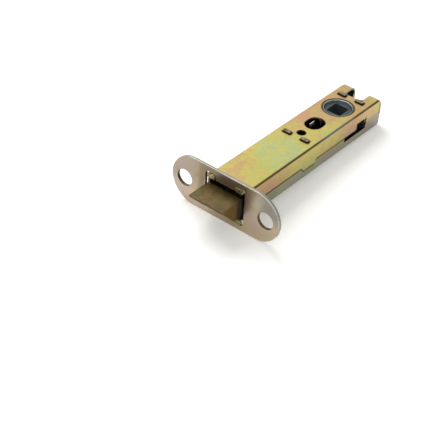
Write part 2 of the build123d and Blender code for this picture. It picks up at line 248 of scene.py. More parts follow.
class LatchStageSettings(PropertyGroup):
    camera_place: FloatVectorProperty(
        name="Camera",
        description="Place of the camera from the forend's centre",
        subtype="TRANSLATION",
        unit="LENGTH",
        default=(-335.27 * MM, -259.55 * MM, 325.29 * MM),
    )
    heading: FloatProperty(
        name="Heading",
        description="Way the camera looks, from +X",
        subtype="ANGLE",
        default=math.radians(38.044),
    )
    elevation: FloatProperty(
        name="Elevation",
        description="How far it looks down",
        subtype="ANGLE",
        default=math.radians(38.4),
    )
    roll: FloatProperty(
        name="Roll",
        description="Turn about its own axis",
        subtype="ANGLE",
        default=math.radians(3.203),
    )
    lens: FloatProperty(name="Lens", description="Focal length in millimetres", default=102.2)
    sensor: FloatProperty(name="Sensor", description="Sensor width in millimetres", default=36.0)
    floor_tone: colour_property("Floor", "Plain pale floor", (250, 250, 248))
    floor_size: FloatProperty(
        name="Floor size", description="Side of the floor", unit="LENGTH", default=4.0
    )
    floor_lift: FloatProperty(name="Floor lift", description="White added for the camera", default=0.3)
    sky_strength: FloatProperty(name="Sky", description="Even light from all round", default=0.42)
    key_power: FloatProperty(
        name="Key lamp", description="Power of the main soft lamp in watts", default=3.75
    )
    fill_power: FloatProperty(
        name="Fill lamp", description="Power of the fill lamp in watts", default=0.6
    )


def add_node(tree, kind, inputs=None, **settings):
    """Adds a shader or geometry node, sets its options and fills or links its inputs."""
    node = tree.nodes.new(kind)
    for name, value in settings.items():
        setattr(node, name, value)
    for key, value in (inputs or {}).items():
        if isinstance(value, bpy.types.NodeSocket):
            tree.links.new(value, node.inputs[key])
        else:
            node.inputs[key].default_value = value
    return node


def calculate(tree, operation, first, second=0.0, third=0.0):
    """Output of a Math node."""
    node = add_node(tree, "ShaderNodeMath", {0: first, 1: second, 2: third}, operation=operation)
    return node.outputs[0]


def product(tree, first, *others):
    """All the levels multiplied."""
    for other in others:
        first = calculate(tree, "MULTIPLY", first, other)
    return first


def highest(tree, first, *others):
    """Highest of the levels."""
    for other in others:
        first = calculate(tree, "MAXIMUM", first, other)
    return first


def offset(tree, value, middle):
    """How far a value lies from a middle, to either side."""
    return calculate(tree, "ABSOLUTE", calculate(tree, "SUBTRACT", value, middle))


def fade(tree, value, start, end):
    """Smooth step of a value from 0 at start to 1 at end."""
    inputs = {"Value": value, "From Min": start, "From Max": end, "To Min": 0.0, "To Max": 1.0}
    if start > end:
        inputs.update({"From Min": end, "From Max": start, "To Min": 1.0, "To Max": 0.0})
    node = add_node(tree, "ShaderNodeMapRange", inputs, interpolation_type="SMOOTHSTEP")
    return node.outputs["Result"]


def blend_colours(tree, share, first, second, blend_type="MIX"):
    """Mixes two colours by a share."""
    node = add_node(tree, "ShaderNodeMix", data_type="RGBA", blend_type=blend_type)
    for socket, value in ((node.inputs[0], share), (node.inputs[6], first), (node.inputs[7], second)):
        if isinstance(value, bpy.types.NodeSocket):
            tree.links.new(value, socket)
        else:
            socket.default_value = value if isinstance(value, float) else (*value, 1.0)
    return node.outputs[2]


def tint(tree, film, tone, share, strength=1.0):
    """Film turned towards a tone, by the given strength where the share is 1."""
    if strength != 1.0:
        share = product(tree, share, strength)
    return blend_colours(tree, share, film, tone)


def shade_colour(tree, colour, level):
    """Colour multiplied by a grey level."""
    grey = add_node(tree, "ShaderNodeCombineColor", {0: level, 1: level, 2: level}).outputs[0]
    return blend_colours(tree, 1.0, colour, grey, "MULTIPLY")


def darken(tree, film, share, amount):
    """Film made darker by an amount where the share is 1; a negative amount makes it brighter."""
    return shade_colour(tree, film, calculate(tree, "MULTIPLY_ADD", share, -amount, 1.0))


def centred(tree, level, amount, base):
    """Base value moved up and down by a level that runs from 0 to 1."""
    return calculate(tree, "MULTIPLY_ADD", calculate(tree, "SUBTRACT", level, 0.5), amount, base)


def colour_ramp(tree, value, stops):
    """Colour ramp through (place, colour) stops."""
    node = add_node(tree, "ShaderNodeValToRGB", {"Fac": value})
    elements = node.color_ramp.elements
    while len(elements) > 1:
        elements.remove(elements[-1])
    elements[0].position = stops[0][0]
    elements[0].color = (*stops[0][1], 1.0)
    for place, colour in stops[1:]:
        elements.new(place).color = (*colour, 1.0)
    return node.outputs["Color"]


def level_ramp(tree, value, stops):
    """Ramp through (place, level) stops, as a single value."""
    colour = colour_ramp(tree, value, [(place, (level, level, level)) for place, level in stops])
    return add_node(tree, "ShaderNodeRGBToBW", {"Color": colour}).outputs["Val"]


def noise(tree, point, scale, detail=2.0, roughness=0.5, distortion=0.0):
    """Noise level at a point, with its scale in features per metre."""
    inputs = {
        "Vector": point, "Scale": scale, "Detail": detail, "Roughness": roughness,
        "Distortion": distortion,
    }
    return add_node(tree, "ShaderNodeTexNoise", inputs).outputs["Fac"]


def stretched(tree, point, factors, shift=(0.0, 0.0, 0.0)):
    """Point scaled along each axis, which stretches a pattern."""
    inputs = {"Vector": point, "Scale": factors, "Location": shift}
    return add_node(tree, "ShaderNodeMapping", inputs).outputs["Vector"]


def new_finish(name, metallic, roughness):
    """Material with one Principled shader; gives it, its tree, its shader and the object's point."""
    material = bpy.data.materials.new(name)
    material.use_nodes = True
    tree = material.node_tree
    tree.nodes.clear()
    shader = add_node(tree, "ShaderNodeBsdfPrincipled", {"Metallic": metallic, "Roughness": roughness})
    add_node(tree, "ShaderNodeOutputMaterial", {"Surface": shader.outputs["BSDF"]})
    point = add_node(tree, "ShaderNodeTexCoord").outputs["Object"]
    return material, tree, shader, point


def finish_surface(tree, shader, colour, roughness, height, bump_depth, strength):
    """Gives a shader its colour and roughness and bumps it by a height level; depth in metres."""
    tree.links.new(colour, shader.inputs["Base Color"])
    tree.links.new(roughness, shader.inputs["Roughness"])
    bump = add_node(
        tree, "ShaderNodeBump", {"Height": height, "Distance": bump_depth, "Strength": strength}
    )
    tree.links.new(bump.outputs["Normal"], shader.inputs["Normal"])


def split_point(tree, point):
    """X, Y and Z of a point, and how far it lies to either side and above or below the middle."""
    axes = add_node(tree, "ShaderNodeSeparateXYZ", {"Vector": point}).outputs
    across = calculate(tree, "ABSOLUTE", axes["Y"])
    depth = calculate(tree, "ABSOLUTE", axes["Z"])
    return axes["X"], axes["Y"], axes["Z"], across, depth


def distance(tree, first, second):
    """Length of a flat vector given by its two parts."""
    squares = calculate(tree, "ADD", product(tree, first, first), product(tree, second, second))
    return calculate(tree, "SQRT", squares)


def inside_mask(tree, along, across, depth, tray):
    """1 on the inner faces of a pressed tray whose outer far corner is given, 0 outside."""
    return product(
        tree,
        fade(tree, across, tray.y - 0.8 * SHEET, tray.y - 0.96 * SHEET),
        fade(tree, depth, CASE_TOP - 0.8 * SHEET, CASE_TOP - 0.96 * SHEET),
        fade(tree, along, tray.x - 0.8 * SHEET, tray.x - 0.96 * SHEET),
        fade(tree, along, 1.3 * MM, 1.7 * MM),
    )


def bend_film(tree, point, along, across, depth, half_width, film):
    """Painted shade along the outer bends of a tray, brown, with a grey painted highlight over a
    stretch past the middle.
    """
    finish = bpy.context.scene.latch_finish
    share = calculate(tree, "DIVIDE", along, CASE_LENGTH)
    tone = colour_ramp(
        tree, share,
        [(0.0, finish.bend_and_hole_shade), (0.50, finish.bend_and_hole_shade), (0.58, finish.bend_highlight),
         (0.70, finish.bend_highlight), (0.78, finish.bend_and_hole_shade), (1.0, finish.bend_and_hole_shade)],
    )
    near_side = fade(tree, across, half_width - 0.85 * MM, half_width - 0.55 * MM)
    near_face = fade(tree, depth, CASE_TOP - 0.95 * MM, CASE_TOP - 0.7 * MM)
    near_end = fade(tree, along, CASE_LENGTH - 0.9 * MM, CASE_LENGTH - 0.6 * MM)
    patches = noise(tree, stretched(tree, point, (0.3, 1.0, 1.0)), 150.0, 2.0)
    bend = product(tree, near_side, highest(tree, near_face, near_end), fade(tree, patches, 0.2, 0.5))
    return tint(tree, film, tone, bend)


def notch_edge(tree, along, across):
    """1 on the cut edges of the far notch."""
    inward = fade(tree, across, NOTCH_HALF_WIDTH + 0.16 * MM, NOTCH_HALF_WIDTH + 0.06 * MM)
    return product(tree, inward, fade(tree, along, NOTCH_X - 0.16 * MM, NOTCH_X - 0.04 * MM))


def finish_plating(tree, shader, point, film, tray):
    """Adds cut edges, grain, rolling streaks, painted shade on the insides and worn front tenons to a
    plating.
    """
    finish = bpy.context.scene.latch_finish
    along, _, _, across, depth = split_point(tree, point)
    cut = notch_edge(tree, along, across)
    film = tint(tree, film, finish.cut_grey, cut)
    inside = inside_mask(tree, along, across, depth, tray)
    inside = product(tree, inside, calculate(tree, "SUBTRACT", 1.0, cut))
    speckle = noise(tree, point, 1000.0, 3.0, 0.65)
    streaks = noise(tree, stretched(tree, point, (0.05, 1.0, 1.0)), 2400.0, 2.0)
    film = shade_colour(tree, film, centred(tree, speckle, 0.30, 1.0))
    film = shade_colour(tree, film, centred(tree, streaks, 0.12, 1.0))
    # Peened tenons: plating broken open to bare cream metal between dark folds
    peened = fade(tree, along, 1.75 * MM, 1.45 * MM)
    folds = noise(tree, point, 2200.0, 2.0, 0.7, 0.5)
    broken = colour_ramp(
        tree, folds,
        [(0.36, paint(62, 56, 34)), (0.50, paint(128, 116, 74)), (0.66, paint(214, 206, 160))],
    )
    film = tint(tree, film, broken, peened)
    # Painted shade on the inner faces of the tray
    film = darken(tree, film, inside, 0.68)
    rough = calculate(tree, "MULTIPLY_ADD", inside, 0.3, centred(tree, speckle, 0.22, 0.34))
    grain = calculate(tree, "MULTIPLY_ADD", streaks, 0.5, speckle)
    finish_surface(tree, shader, film, rough, grain, 0.014 * MM, 0.6)


def stake_rings(tree, along, across):
    """1 in a narrow ring on the broad faces round each stake, 0 elsewhere."""
    rings = []
    for stakes_x in STAKES_X:
        past_x = calculate(tree, "SUBTRACT", offset(tree, along, stakes_x), 1.0 * MM)
        off_y = offset(tree, across, STAKES_Y)
        past_y = calculate(tree, "SUBTRACT", off_y, STAKE_HALF_WIDTH - 0.2 * MM)
        rings.append(fade(tree, highest(tree, past_x, past_y, 0.0), 0.75 * MM, 0.3 * MM))
    return highest(tree, *rings)


def follower_ring(tree, along, across):
    """1 on the rim of the case's follower hole, 0 elsewhere."""
    radius = distance(tree, calculate(tree, "SUBTRACT", along, FOLLOWER_AXIS.x), across)
    return fade(tree, radius, HEAD_RADIUS + 0.97 * MM, HEAD_RADIUS + 0.67 * MM)


def foot_margin(tree, along, height):
    """1 inside the foot's outline and for a little way round it, 0 elsewhere."""
    low = calculate(tree, "DIVIDE", calculate(tree, "SUBTRACT", JOINT_HEIGHT, height), FOOT_DEPTH)
    half_length = calculate(tree, "MULTIPLY_ADD", low, -FOOT_SLOPE, FOOT_HALF_LENGTH)
    past_end = calculate(tree, "SUBTRACT", offset(tree, along, FOOT_X), half_length)
    return product(tree, fade(tree, past_end, 0.55 * MM, 0.35 * MM), fade(tree, low, 1.26, 1.18))


def cover_zinc():
    """Yellow zinc passivate of the upper tray: gold with green, yellow and pink clouds along it."""
    finish = bpy.context.scene.latch_finish
    material, tree, shader, point = new_finish("cover_yellow_zinc", 0.82, 0.36)
    along, side_way, height, across, depth = split_point(tree, point)
    half_width = COVER_HIGH.y
    share = calculate(tree, "DIVIDE", along, CASE_LENGTH)
    large_place = stretched(tree, point, (1.0, 1.35, 1.0))
    cloud = noise(tree, large_place, 1 / finish.blotch_size, 3.0, 0.55, 0.9)
    small_place = stretched(tree, point, (1.0, 1.2, 1.0))
    small_cloud = noise(tree, small_place, 4.4 / finish.blotch_size, 3.0, 0.6, 0.6)
    # Film colour index: 0 is pink, 0.3 gold, 0.5 yellow, 0.75 green, 1 pale green
    top_index = level_ramp(
        tree, share,
        [(0.02, 0.36), (0.12, 0.40), (0.22, 0.40), (0.30, 0.70), (0.40, 0.72), (0.48, 0.34),
         (0.56, 0.44), (0.66, 0.28), (0.76, 0.26), (0.86, 0.28), (0.98, 0.34)],
    )
    # The front edge of the top is yellower and greener than the back edge
    top_index = calculate(tree, "MULTIPLY_ADD", side_way, -9.0, top_index)
    # Green patch by the front bend beside the through-bolt hole
    beside_hole = fade(tree, offset(tree, along, GREEN_PATCH_X), 9 * MM, 4 * MM)
    green = product(tree, beside_hole, fade(tree, side_way, -3 * MM, -8 * MM))
    top_index = calculate(tree, "MULTIPLY_ADD", green, 0.2, top_index)
    side_index = level_ramp(
        tree, share,
        [(0.05, 0.06), (0.22, 0.10), (0.36, 0.42), (0.46, 0.44), (0.60, 0.44), (0.74, 0.20),
         (0.92, 0.26), (1.0, 0.3)],
    )
    on_side = fade(tree, across, half_width - 0.9 * MM, half_width - 0.3 * MM)
    index = add_node(
        tree, "ShaderNodeMix", {0: on_side, 2: top_index, 3: side_index}, data_type="FLOAT"
    )
    drift = centred(tree, small_cloud, 0.85, centred(tree, cloud, 1.1, index.outputs[0]))
    film = colour_ramp(
        tree, drift,
        [(0.02, finish.zinc_pink), (0.28, finish.zinc_gold), (0.50, finish.zinc_yellow),
         (0.74, finish.zinc_green), (0.98, finish.zinc_pale)],
    )
    # Rose film on the side walls beside the window, and low down at the far end
    beside_window = fade(tree, offset(tree, along, WINDOW_X), 6 * MM, 4.4 * MM)
    rose = product(tree, beside_window, fade(tree, height, 3.2 * MM, 1.2 * MM), on_side)
    film = tint(tree, film, finish.cover_rose, rose, 0.7)
    far = product(tree, fade(tree, along, 91 * MM, 95 * MM), fade(tree, height, 1.6 * MM, 0.2 * MM))
    film = tint(tree, film, finish.body_rose, far, 0.85)
    # Painted light on the side walls, stronger towards the bend, and painted shade on the whole tray
    # near the forend
    side_light = calculate(tree, "MULTIPLY_ADD", fade(tree, height, 1 * MM, 5 * MM), 0.06, 0.05)
    film = darken(tree, film, product(tree, on_side, side_light), -1.0)
    film = darken(tree, film, fade(tree, along, 40 * MM, 14 * MM), 0.14)
    film = bend_film(tree, point, along, across, depth, half_width, film)
    # Painted shade down the far corners
    corner = product(tree, on_side, fade(tree, along, CASE_LENGTH - 2.3 * MM, CASE_LENGTH - 2.0 * MM))
    film = tint(tree, film, finish.bend_and_hole_shade, corner, 0.6)
    # Dark joint line on the sheared lower edges of the side walls and of the foot, with painted shade
    # along the joint
    on_foot = product(tree, foot_margin(tree, along, height), FOOT_DEPTH)
    above_edge = calculate(tree, "SUBTRACT", calculate(tree, "ADD", height, on_foot), JOINT_HEIGHT)
    low_edge = product(
        tree,
        fade(tree, above_edge, 0.7 * MM, 0.36 * MM),
        fade(tree, along, 94 * MM, 86 * MM),
        centred(tree, fade(tree, along, 60 * MM, 50 * MM), 0.3, 0.8),
    )
    film = tint(tree, film, finish.painted_shade, low_edge)
    # Painted shade in rings round the stakes' feet and round the follower hole
    on_face = fade(tree, depth, CASE_TOP - 0.4 * MM, CASE_TOP - 0.2 * MM)
    rings = highest(tree, stake_rings(tree, along, across), follower_ring(tree, along, across))
    film = tint(tree, film, finish.painted_shade, product(tree, rings, on_face), 0.85)
    finish_plating(tree, shader, point, film, COVER_HIGH)
    return material


def body_zinc():
    """Olive grey zinc passivate of the lower tray, kept darker than the cover's as painted shade."""
    finish = bpy.context.scene.latch_finish
    material, tree, shader, point = new_finish("body_olive_zinc", 0.82, 0.38)
    along, _, height, across, depth = split_point(tree, point)
    half_width = BODY_HIGH.y
    place = stretched(tree, point, (0.8, 1.2, 1.2))
    cloud = noise(tree, place, 1.3 / finish.blotch_size, 3.0, 0.6, 0.8)
    film = colour_ramp(
        tree, cloud, [(0.32, finish.body_moss), (0.48, finish.body_olive), (0.66, finish.body_rose)]
    )
    far = fade(tree, calculate(tree, "DIVIDE", along, CASE_LENGTH), 0.84, 0.92)
    film = tint(tree, film, finish.body_rose, far, 0.8)
    # Duller in the forend's shade
    film = darken(tree, film, fade(tree, along, 30 * MM, 12 * MM), 0.22)
    # Painted shade on the sills of the side windows
    at_sill = fade(tree, offset(tree, height, JOINT_HEIGHT - WINDOW_DEPTH), 0.14 * MM, 0.09 * MM)
    sill = product(tree, at_sill, fade(tree, across, half_width, half_width - 0.1 * MM))
    film = tint(tree, film, finish.painted_shade, sill)
    # Painted shade under the cover's edge and round its foot, a dark line that fades out towards the
    # far end
    joint = fade(tree, height, JOINT_HEIGHT - 0.8 * MM, JOINT_HEIGHT - 0.5 * MM)
    joint = highest(tree, joint, foot_margin(tree, along, height))
    joint = product(tree, joint, fade(tree, along, 96 * MM, 90 * MM))
    film = tint(tree, film, finish.painted_shade, joint, 0.94)
    film = bend_film(tree, point, along, across, depth, half_width, film)
    finish_plating(tree, shader, point, film, BODY_HIGH)
    return material


def opening_distance(tree, across, depth):
    """How far a point of the forend lies outside the nearest lobe of its opening."""
    past_y = calculate(tree, "SUBTRACT", offset(tree, across, LOBE_Y), LOBE_HALF_WIDTH - LOBE_ROUND)
    past_z = calculate(tree, "SUBTRACT", depth, LOBE_TOP - LOBE_ROUND)
    round_corner = distance(tree, highest(tree, past_y, 0.0), highest(tree, past_z, 0.0))
    return calculate(tree, "SUBTRACT", round_corner, LOBE_ROUND)


def forend_zinc():
    """Pale zinc film of the forend, silver with pink and straw clouds and fine handling scratches."""
    finish = bpy.context.scene.latch_finish
    material, tree, shader, point = new_finish("forend_pale_zinc", 0.85, 0.34)
    along, side_way, height, across, depth = split_point(tree, point)
    cloud = noise(tree, point, 1.8 / finish.blotch_size, 4.0, 0.6, 0.8)
    film = colour_ramp(
        tree, cloud,
        [(0.34, finish.forend_pink), (0.48, finish.forend_silver), (0.60, finish.forend_straw),
         (0.82, finish.forend_grey)],
    )
    # Straw along the lower edge, pink at one end with painted light that brightens it high up and
    # darkens it low down, cool grey at the other
    straw = product(tree, fade(tree, height, 2 * MM, -9 * MM), fade(tree, side_way, 20 * MM, 12 * MM))
    film = tint(tree, film, finish.forend_straw, straw, 0.5)
    pink_end = fade(tree, side_way, 15 * MM, 24 * MM)
    film = tint(tree, film, finish.forend_pink, pink_end, 0.7)
    film = darken(tree, film, product(tree, pink_end, height), -13.0)
    cool = product(tree, fade(tree, side_way, -15 * MM, -23 * MM), fade(tree, height, -3 * MM, 5 * MM))
    film = tint(tree, film, finish.forend_grey, cool, 0.85)
    # Painted reflection of the brown bolt and painted shade: brown grey above the opening, and weaker
    # to its right, to its left and below it
    above = product(tree, fade(tree, height, 4 * MM, 9 * MM), fade(tree, across, 17 * MM, 9 * MM))
    right = product(
        tree, fade(tree, side_way, -19 * MM, -12 * MM), fade(tree, height, -6 * MM, 3 * MM), 0.55
    )
    left = product(
        tree,
        fade(tree, side_way, 18 * MM, 13 * MM),
        fade(tree, side_way, 8 * MM, 10 * MM),
        fade(tree, height, -7 * MM, -3 * MM),
        0.95,
    )
    below = product(
        tree, fade(tree, height, -6 * MM, -9 * MM), fade(tree, across, 13 * MM, 5 * MM), 0.35
    )
    film = tint(tree, film, finish.forend_shade, highest(tree, above, right, left, below), 0.8)
    # Dull grey outer edge, with a painted highlight at its front that is brightest at the right end
    past_end = highest(tree, calculate(tree, "SUBTRACT", across, FOREND_END_Y), 0.0)
    outward = distance(tree, past_end, height)
    edge = fade(tree, outward, FOREND_HALF_WIDTH - 0.22 * MM, FOREND_HALF_WIDTH - 0.06 * MM)
    film = tint(tree, film, finish.forend_grey, edge, 0.9)
    highlight_breakup = noise(tree, stretched(tree, point, (1.0, 0.4, 1.0)), 160.0, 3.0, 0.6)
    brightest = fade(tree, side_way, -18 * MM, -24 * MM)
    rim = product(
        tree,
        fade(tree, outward, FOREND_HALF_WIDTH - 0.4 * MM, FOREND_HALF_WIDTH - 0.2 * MM),
        fade(tree, along, 0.34 * MM, 0.2 * MM),
        fade(tree, highlight_breakup, 0.36, 0.56),
        calculate(tree, "MULTIPLY_ADD", brightest, 0.7, 0.3),
    )
    film = tint(tree, film, finish.forend_highlight, rim, 0.8)
    # Painted shade on the walls of the screw holes
    screw = distance(tree, calculate(tree, "SUBTRACT", across, SCREW_Y), height)
    in_hole = fade(tree, screw, SCREW_RADIUS + 0.2 * MM, SCREW_RADIUS + 0.06 * MM)
    film = tint(tree, film, finish.bend_and_hole_shade, in_hole)
    # Opening and its lobes: painted highlight on the front lip, painted shade on the walls
    past_opening = opening_distance(tree, across, depth)
    lip = product(tree, fade(tree, past_opening, 0.34 * MM, 0.14 * MM), fade(tree, highlight_breakup, 0.42, 0.56))
    film = tint(tree, film, finish.forend_highlight, lip, 0.6)
    wall = product(
        tree, fade(tree, past_opening, 0.1 * MM, 0.04 * MM), fade(tree, along, 0.25 * MM, 0.5 * MM)
    )
    film = tint(tree, film, finish.painted_shade, wall)
    speckle = noise(tree, point, 1100.0, 3.0, 0.6)
    scratches = noise(tree, stretched(tree, point, (1.0, 0.08, 1.0)), 2200.0, 2.0)
    film = shade_colour(tree, film, centred(tree, speckle, 0.2, 1.0))
    grain = calculate(tree, "MULTIPLY_ADD", scratches, 0.5, speckle)
    finish_surface(tree, shader, film, centred(tree, speckle, 0.2, 0.34), grain, 0.01 * MM, 0.5)
    return material


def staked_bridge():
    """Cross plates: dull inside the case, with painted shade round the stakes' feet and lighter tops on
    the stakes, partly rubbed and partly painted light.
    """
    material, tree, shader, point = new_finish("bridge_zinc", 0.8, 0.42)
    along, _, _, across, depth = split_point(tree, point)
    crumbs = noise(tree, point, 900.0, 3.0, 0.65, 0.4)
    level = centred(tree, crumbs, 1.3 * MM, depth)
    # Painted shade towards the outline of each stake
    off_x = calculate(tree, "MINIMUM", *[offset(tree, along, stakes_x) for stakes_x in STAKES_X])
    past_x = calculate(tree, "SUBTRACT", off_x, 0.6 * MM)
    past_y = calculate(tree, "SUBTRACT", offset(tree, across, STAKES_Y), STAKE_HALF_WIDTH - 0.6 * MM)
    level = calculate(tree, "MULTIPLY_ADD", highest(tree, past_x, past_y, 0.0), -1.1, level)
    # Stake tone by height: painted shade at their feet, painted light on their tops
    tone = colour_ramp(
        tree, calculate(tree, "DIVIDE", calculate(tree, "SUBTRACT", level, CASE_TOP), STAKE_HEIGHT),
        [(0.0, paint(36, 30, 20)), (0.45, paint(54, 44, 28)), (0.85, paint(92, 80, 54)),
         (1.0, paint(138, 126, 96))],
    )
    inner = fade(tree, depth, CASE_TOP - 0.7 * MM, CASE_TOP - 1.1 * MM)
    tone = tint(tree, tone, paint(136, 138, 136), inner)
    finish_surface(tree, shader, tone, centred(tree, crumbs, 0.3, 0.42), crumbs, 0.04 * MM, 0.8)
    return material


def cast_bronze():
    """Brown bronze casting of the bolt, with rust-orange blotches, painted light just in front of the
    case and painted shade inside it.
    """
    finish = bpy.context.scene.latch_finish
    material, tree, shader, point = new_finish("bolt_bronze", 0.7, 0.42)
    along, _, _, across, _ = split_point(tree, point)
    patches = noise(tree, point, 240.0, 4.0, 0.6, 0.4)
    fine = noise(tree, point, 1900.0, 3.0, 0.6)
    mottled = fade(tree, centred(tree, fine, 0.5, patches), 0.3, 0.7)
    tone = tint(tree, finish.bronze_dark, finish.bronze, mottled)
    rust = noise(tree, stretched(tree, point, (1.0, 1.0, 1.0), (0.03, 0.01, 0.0)), 320.0, 3.0, 0.6, 0.8)
    tone = tint(tree, tone, finish.bronze_rust, fade(tree, rust, 0.56, 0.72), 0.5)
    # Warm sides, with painted shade towards the case
    on_side = fade(tree, across, BOLT_HALF_WIDTH - 0.3 * MM, BOLT_HALF_WIDTH - 0.1 * MM)
    near_case = fade(tree, along, -4.6 * MM, -1.4 * MM)
    side_tone = tint(tree, finish.bronze_gold, finish.painted_shade, near_case)
    tone = tint(tree, tone, side_tone, on_side, 0.75)
    # Painted light on the stretch just in front of the case, painted shade inside the case
    tone = darken(tree, tone, fade(tree, along, -7 * MM, -1 * MM), -0.3)
    tone = darken(tree, tone, fade(tree, along, -0.4 * MM, 0.5 * MM), 0.82)
    finish_surface(tree, shader, tone, centred(tree, fine, 0.24, 0.42), fine, 0.02 * MM, 0.6)
    return material


def cast_follower():
    """Grey casting of the follower: painted highlight on the rim, dark dished ends, mid grey walls in
    the square and painted shade round its edge and on the hub.
    """
    finish = bpy.context.scene.latch_finish
    material, tree, shader, point = new_finish("follower_cast_steel", 0.75, 0.4)
    from_axis = stretched(tree, point, (1.0, 1.0, 1.0), tuple(-part for part in FOLLOWER_AXIS))
    along, side_way, _, across, depth = split_point(tree, from_axis)
    radius = distance(tree, along, across)
    grain = noise(tree, point, 1200.0, 3.0, 0.6)
    walls = highest(tree, calculate(tree, "ABSOLUTE", along), across)
    past_walls = fade(tree, walls, SQUARE_HALF + 0.05 * MM, SQUARE_HALF + 0.3 * MM)
    tone = tint(tree, finish.cast_grey, finish.cast_dish, past_walls)
    # Painted highlight on the rim, brightest on the side away from the camera
    rough_radius = centred(tree, grain, 0.4 * MM, radius)
    rim = fade(tree, rough_radius, HEAD_RADIUS - 0.62 * MM, HEAD_RADIUS - 0.42 * MM)
    highlight_breakup = fade(tree, noise(tree, point, 260.0, 2.0), 0.38, 0.6)
    far_side = calculate(tree, "MULTIPLY_ADD", along, 0.79, product(tree, side_way, 0.61))
    worn = product(tree, centred(tree, highlight_breakup, 0.5, 0.7), fade(tree, far_side, -2 * MM, 5 * MM))
    tone = tint(tree, tone, finish.follower_rim_highlight, product(tree, worn, rim))
    tone = tint(tree, tone, finish.follower_rim_highlight, rim, 0.28)
    # Painted shade in the gap round the follower's edge
    edge = fade(tree, radius, HEAD_RADIUS - 0.24 * MM, HEAD_RADIUS - 0.14 * MM)
    tone = tint(tree, tone, finish.painted_shade, edge)
    # Painted shade on the hub and fingers inside the case
    past_head = fade(tree, radius, HEAD_RADIUS - 0.12 * MM, HEAD_RADIUS + 0.02 * MM)
    hub_shade = product(tree, fade(tree, depth, HEAD_LOW, HEAD_LOW - 0.3 * MM), past_head)
    tone = darken(tree, tone, hub_shade, 0.7)
    tone = shade_colour(tree, tone, centred(tree, grain, 0.4, 1.0))
    finish_surface(tree, shader, tone, centred(tree, grain, 0.3, 0.38), grain, 0.02 * MM, 0.6)
    return material


def mottled_metal(name, light, dark, patch_size, metallic, roughness, stretch=(1.0, 1.0, 1.0)):
    """Metal of two tones in soft patches with a fine grain; the patch size is in metres."""
    material, tree, shader, point = new_finish(name, metallic, roughness)
    patches = noise(tree, stretched(tree, point, stretch), 1 / patch_size, 4.0, 0.6, 0.4)
    fine = noise(tree, stretched(tree, point, stretch), 14 / patch_size, 3.0, 0.6)
    tone = tint(tree, dark, light, fade(tree, centred(tree, fine, 0.5, patches), 0.3, 0.72))
    finish_surface(tree, shader, tone, centred(tree, fine, 0.24, roughness), fine, 0.015 * MM, 0.6)
    return material


def soften_node(node, body, material):
    """Stands a copy of a CAD node in its place, merged and with its sheared edges rounded."""
    finish = bpy.context.scene.latch_finish
    mesh = NODES[node].data.copy()
    mesh.name = f"{node}_dressed"
    shape = bmesh.new()
    shape.from_mesh(mesh)
    bmesh.ops.remove_doubles(shape, verts=shape.verts, dist=MERGE_DISTANCE)
    bmesh.ops.dissolve_limit(shape, angle_limit=FLAT_ANGLE, verts=shape.verts, edges=shape.edges)
    sharp = [e for e in shape.edges if len(e.link_faces) == 2 and e.calc_face_angle(0) > SHARP_ANGLE]
    bmesh.ops.bevel(
        shape,
        geom=sharp,
        offset=finish.edge_softness,
        segments=finish.edge_segments,
        profile=0.5,
        affect="EDGES",
        clamp_overlap=True,
    )
    for face in shape.faces:
        face.smooth = True
    shape.to_mesh(mesh)
    shape.free()
    mesh.materials.clear()
    mesh.materials.append(material)
    piece = bpy.data.objects.new(f"{node}_dressed", mesh)
    bpy.context.scene.collection.objects.link(piece)
    normals = piece.modifiers.new("Face weighted normals", "WEIGHTED_NORMAL")
    normals.keep_sharp = True
    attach(piece, body)
    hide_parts(node)


def dress_node(node, material):
    """Gives a CAD node its finish."""
    slots = NODES[node].data.materials
    slots.clear()
    slots.append(material)


class LATCH_OT_case(Operator):
    """Dress the pressed case and its two bridges in yellow zinc"""

    bl_idname = "latch.case"
    bl_label = "Case"

    def execute(self, context):
        for node, zinc in (("case_cover", cover_zinc()), ("case_body", body_zinc())):
            soften_node(node, "case", zinc)
        bridge = staked_bridge()
        for node in ("front_bridge", "rear_bridge"):
            dress_node(node, bridge)
        return {"FINISHED"}


class LATCH_OT_forend(Operator):
    """Dress the forend in pale zinc"""

    bl_idname = "latch.forend"
    bl_label = "Forend"

    def execute(self, context):
        soften_node("forend", "case", forend_zinc())
        return {"FINISHED"}


class LATCH_OT_bolt(Operator):
    """Dress the cast bolt, its tail, pin, washer and clip"""

    bl_idname = "latch.bolt"
    bl_label = "Bolt"

    def execute(self, context):
        finish = context.scene.latch_finish
        bright = mottled_metal(
            "tail_bright_steel", finish.bright_steel, paint(130, 130, 128), 5 * MM, 1.0, 0.3
        )
        dark = mottled_metal(
            "clip_spring_steel", finish.spring_steel, paint(52, 52, 54), 3 * MM, 1.0, 0.38
        )
        dress_node("latch_bolt", cast_bronze())
        for node in ("bolt_tail", "tail_pin", "tail_washer"):
            dress_node(node, bright)
        dress_node("tail_clip", dark)
        return {"FINISHED"}


class LATCH_OT_works(Operator):
    """Dress the draw yoke and the follower"""

    bl_idname = "latch.works"
    bl_label = "Yoke and follower"

    def execute(self, context):
        finish = context.scene.latch_finish
        # Oiled strip steel, kept near black as painted shade inside the case
        strip = mottled_metal(
            "yoke_strip_steel", finish.strip_steel, paint(24, 22, 20), 6 * MM, 0.95, 0.5,
            stretch=(0.2, 1.0, 1.0),
        )
        dress_node("draw_yoke", strip)
        dress_node("follower", cast_follower())
        return {"FINISHED"}


